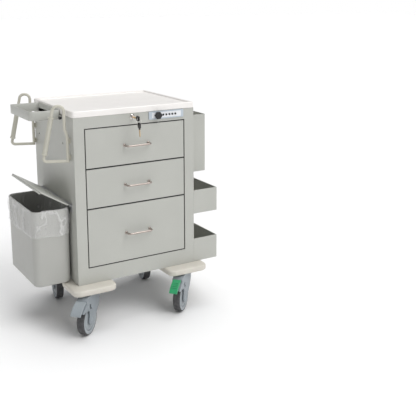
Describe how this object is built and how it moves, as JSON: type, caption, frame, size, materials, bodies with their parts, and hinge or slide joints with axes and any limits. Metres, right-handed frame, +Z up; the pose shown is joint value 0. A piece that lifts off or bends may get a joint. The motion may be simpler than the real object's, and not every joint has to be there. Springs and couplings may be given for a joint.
{
  "type": "medication cart",
  "caption": "Grey steel medication cart with lockable drawers, side bins, a lidded waste bin, a sharps ring, push handles and braked swivel casters.",
  "frame": {"origin": "middle of the footprint's bounding box, on the floor under the wheels", "axes": "+X to the cart's right, +Y to its back, +Z up"},
  "size_m": [0.8206, 0.605, 0.933],
  "materials": {
    "paint": "light grey powder coat",
    "zinc": "zinc-plated steel",
    "worktop": "satin white moulded top",
    "chrome": "bright nickel",
    "black_plastic": "black moulded plastic",
    "lock_plate": "satin blue-grey plate",
    "cream": "cream moulded plastic",
    "handle_rod": "beige powder coat",
    "grip": "ribbed soft plastic",
    "bag": "thin translucent film",
    "caster_plastic": "blue-grey moulded plastic",
    "wheel": "dark rubber tread on a grey core",
    "green_plastic": "green moulded plastic"
  },
  "bodies": {
    "cart": {"cabinet_shell": "paint", "base_pan": "zinc", "worktop": "worktop", "slide_rail_1_left": "zinc", "slide_rail_1_right": "zinc", "slide_rail_2_left": "zinc", "slide_rail_2_right": "zinc", "slide_rail_3_left": "zinc", "slide_rail_3_right": "zinc", "lock_barrel": "chrome", "code_plate": "lock_plate", "upper_side_box": "paint", "middle_side_bin": "paint", "lower_side_bin": "paint", "push_handle_front": "handle_rod", "push_handle_rear": "handle_rod", "handle_grip_front": "grip", "handle_grip_rear": "grip", "sharps_ring": "paint", "waste_bin": "paint", "bin_liner": "bag", "lid_bracket": "zinc", "bumper_front_left": "cream", "bumper_front_right": "cream", "bumper_rear_left": "cream", "bumper_rear_right": "cream"},
    "drawer_1": {"drawer_front_1": "paint", "drawer_tray_1": "zinc", "drawer_pull_1": "chrome"},
    "drawer_2": {"drawer_front_2": "paint", "drawer_tray_2": "zinc", "drawer_pull_2": "chrome"},
    "drawer_3": {"drawer_front_3": "paint", "drawer_tray_3": "zinc", "drawer_pull_3": "chrome"},
    "shelf": {"writing_shelf": "paint", "shelf_pull": "chrome"},
    "lock_plug": {"lock_plug": "chrome", "key": "black_plastic"},
    "key_ring": {"key_ring": "chrome"},
    "code_knob": {"code_knob": "black_plastic"},
    "code_button_1": {"code_button_1": "black_plastic"},
    "code_button_2": {"code_button_2": "black_plastic"},
    "code_button_3": {"code_button_3": "black_plastic"},
    "code_button_4": {"code_button_4": "black_plastic"},
    "code_button_5": {"code_button_5": "black_plastic"},
    "bin_lid": {"bin_lid": "paint"},
    "caster_front_left": {"caster_fork_front_left": "caster_plastic"},
    "wheel_front_left": {"caster_wheel_front_left": "wheel"},
    "pedal_front_left": {"brake_pedal_front_left": "caster_plastic"},
    "caster_front_right": {"caster_fork_front_right": "caster_plastic"},
    "wheel_front_right": {"caster_wheel_front_right": "wheel"},
    "pedal_front_right": {"brake_pedal_front_right": "green_plastic"},
    "caster_rear_left": {"caster_fork_rear_left": "caster_plastic"},
    "wheel_rear_left": {"caster_wheel_rear_left": "wheel"},
    "pedal_rear_left": {"brake_pedal_rear_left": "caster_plastic"},
    "caster_rear_right": {"caster_fork_rear_right": "caster_plastic"},
    "wheel_rear_right": {"caster_wheel_rear_right": "wheel"},
    "pedal_rear_right": {"brake_pedal_rear_right": "caster_plastic"}
  },
  "joints": [
    {"name": "drawer_1_slide", "type": "slide", "parent": "cart", "child": "drawer_1", "axis": [0, -1, 0], "range_m": [0, 0.3]},
    {"name": "drawer_2_slide", "type": "slide", "parent": "cart", "child": "drawer_2", "axis": [0, -1, 0], "range_m": [0, 0.3]},
    {"name": "drawer_3_slide", "type": "slide", "parent": "cart", "child": "drawer_3", "axis": [0, -1, 0], "range_m": [0, 0.3]},
    {"name": "shelf_slide", "type": "slide", "parent": "cart", "child": "shelf", "axis": [1, 0, 0], "range_m": [0, 0.3]},
    {"name": "key_turn", "type": "hinge", "parent": "cart", "child": "lock_plug", "pos_m": [0.0053, -0.19301, 0.869], "axis": [0, 1, 0], "range_deg": [0, 90]},
    {"name": "key_ring_swing", "type": "hinge", "parent": "lock_plug", "child": "key_ring", "pos_m": [0.0053, -0.25251, 0.869], "axis": [1, 0, 0], "range_deg": [-60, 12]},
    {"name": "code_knob_turn", "type": "hinge", "parent": "cart", "child": "code_knob", "pos_m": [0.1173, -0.19801, 0.8665], "axis": [0, 1, 0], "range_deg": [0, 80]},
    {"name": "code_button_1_press", "type": "slide", "parent": "cart", "child": "code_button_1", "axis": [0, 1, 0], "range_m": [0, 0.0022], "stiffness_N_per_m": 600, "springref_m": -0.0015},
    {"name": "code_button_2_press", "type": "slide", "parent": "cart", "child": "code_button_2", "axis": [0, 1, 0], "range_m": [0, 0.0022], "stiffness_N_per_m": 600, "springref_m": -0.0015},
    {"name": "code_button_3_press", "type": "slide", "parent": "cart", "child": "code_button_3", "axis": [0, 1, 0], "range_m": [0, 0.0022], "stiffness_N_per_m": 600, "springref_m": -0.0015},
    {"name": "code_button_4_press", "type": "slide", "parent": "cart", "child": "code_button_4", "axis": [0, 1, 0], "range_m": [0, 0.0022], "stiffness_N_per_m": 600, "springref_m": -0.0015},
    {"name": "code_button_5_press", "type": "slide", "parent": "cart", "child": "code_button_5", "axis": [0, 1, 0], "range_m": [0, 0.0022], "stiffness_N_per_m": 600, "springref_m": -0.0015},
    {"name": "lid_hinge", "type": "hinge", "parent": "cart", "child": "bin_lid", "pos_m": [-0.2547, 0.02449, 0.525], "axis": [0, 1, 0], "range_deg": [-31, 54]},
    {"name": "caster_swivel_front_left", "type": "hinge", "parent": "cart", "child": "caster_front_left", "pos_m": [-0.1957, -0.19301, 0.15], "axis": [0, 0, 1], "continuous": true},
    {"name": "wheel_spin_front_left", "type": "hinge", "parent": "caster_front_left", "child": "wheel_front_left", "pos_m": [-0.23062, -0.22446, 0.0625], "axis": [0.6691, -0.7431, 0], "continuous": true},
    {"name": "pedal_lift_front_left", "type": "hinge", "parent": "caster_front_left", "child": "pedal_front_left", "pos_m": [-0.26555, -0.25591, 0.151], "axis": [-0.6691, 0.7431, 0], "range_deg": [0, 12]},
    {"name": "caster_swivel_front_right", "type": "hinge", "parent": "cart", "child": "caster_front_right", "pos_m": [0.2403, -0.19301, 0.15], "axis": [0, 0, 1], "continuous": true},
    {"name": "wheel_spin_front_right", "type": "hinge", "parent": "caster_front_right", "child": "wheel_front_right", "pos_m": [0.20538, -0.22446, 0.0625], "axis": [0.6691, -0.7431, 0], "continuous": true},
    {"name": "pedal_lift_front_right", "type": "hinge", "parent": "caster_front_right", "child": "pedal_front_right", "pos_m": [0.17045, -0.25591, 0.151], "axis": [-0.6691, 0.7431, 0], "range_deg": [0, 12]},
    {"name": "caster_swivel_rear_left", "type": "hinge", "parent": "cart", "child": "caster_rear_left", "pos_m": [-0.1957, 0.23699, 0.15], "axis": [0, 0, 1], "continuous": true},
    {"name": "wheel_spin_rear_left", "type": "hinge", "parent": "caster_rear_left", "child": "wheel_rear_left", "pos_m": [-0.20224, 0.19045, 0.0625], "axis": [0.9903, -0.1392, 0], "continuous": true},
    {"name": "pedal_lift_rear_left", "type": "hinge", "parent": "caster_rear_left", "child": "pedal_rear_left", "pos_m": [-0.20878, 0.1439, 0.151], "axis": [-0.9903, 0.1392, 0], "range_deg": [0, 12]},
    {"name": "caster_swivel_rear_right", "type": "hinge", "parent": "cart", "child": "caster_rear_right", "pos_m": [0.2403, 0.23699, 0.15], "axis": [0, 0, 1], "continuous": true},
    {"name": "wheel_spin_rear_right", "type": "hinge", "parent": "caster_rear_right", "child": "wheel_rear_right", "pos_m": [0.23376, 0.19045, 0.0625], "axis": [0.9903, -0.1392, 0], "continuous": true},
    {"name": "pedal_lift_rear_right", "type": "hinge", "parent": "caster_rear_right", "child": "pedal_rear_right", "pos_m": [0.22722, 0.1439, 0.151], "axis": [-0.9903, 0.1392, 0], "range_deg": [0, 12]}
  ]
}
